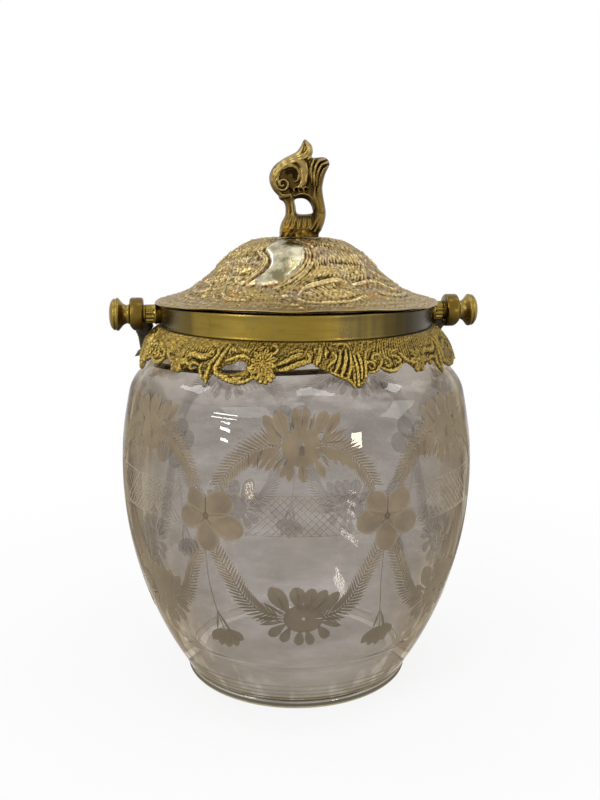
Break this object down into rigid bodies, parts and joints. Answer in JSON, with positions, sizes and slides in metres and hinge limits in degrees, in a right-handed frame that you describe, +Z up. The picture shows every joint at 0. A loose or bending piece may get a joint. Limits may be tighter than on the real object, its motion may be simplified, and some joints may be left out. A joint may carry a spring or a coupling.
{
  "type": "biscuit jar",
  "caption": "Lidded glass biscuit barrel with a plastered brass collar, a cast ornamental skirt, a swinging bail handle on fluted pivots and a lift-off domed lid with a scroll finial.",
  "frame": {"origin": "centre of the base, on the surface that the jar stands on", "axes": "+Z up the jar's axis, X along the bail's pivots with +X to the right, -Y towards the front"},
  "size_m": [0.158, 0.154, 0.2303],
  "materials": {
    "glass_clear": "polished, with matt engraved flowers",
    "plaster": "matt plaster of Paris",
    "collar_brass": "worn satin",
    "skirt_brass": "cast, gilt, with dark recesses",
    "pivot_brass": "worn satin",
    "bail_brass": "worn satin",
    "lid_gilt": "stamped relief, worn gilt",
    "plain_brass": "plain satin",
    "finial_gilt": "cast, gilt, with dark recesses"
  },
  "bodies": {
    "jar": {"glass_barrel": "glass_clear", "neck_plaster": "plaster", "collar_band": "collar_brass", "skirt_front_right": "skirt_brass", "skirt_back_right": "skirt_brass", "skirt_back_left": "skirt_brass", "skirt_front_left": "skirt_brass", "boss_left": "pivot_brass", "boss_right": "pivot_brass", "washer_left": "pivot_brass", "washer_right": "pivot_brass", "knob_left": "pivot_brass", "knob_right": "pivot_brass"},
    "bail": {"bail_handle": "bail_brass"},
    "lid": {"lid_shell": "lid_gilt", "lid_seat_ring": "plain_brass", "finial": "finial_gilt", "finial_stud": "plain_brass", "finial_washer": "plain_brass", "finial_nut": "plain_brass"}
  },
  "joints": [
    {"name": "bail_swing", "type": "hinge", "parent": "jar", "child": "bail", "pos_m": [0, 0, 0.1587], "axis": [1, 0, 0], "range_deg": [0, 236]},
    {"name": "lid_lift", "type": "slide", "parent": "jar", "child": "lid", "axis": [0, 0, 1], "range_m": [0, 0.08]}
  ]
}
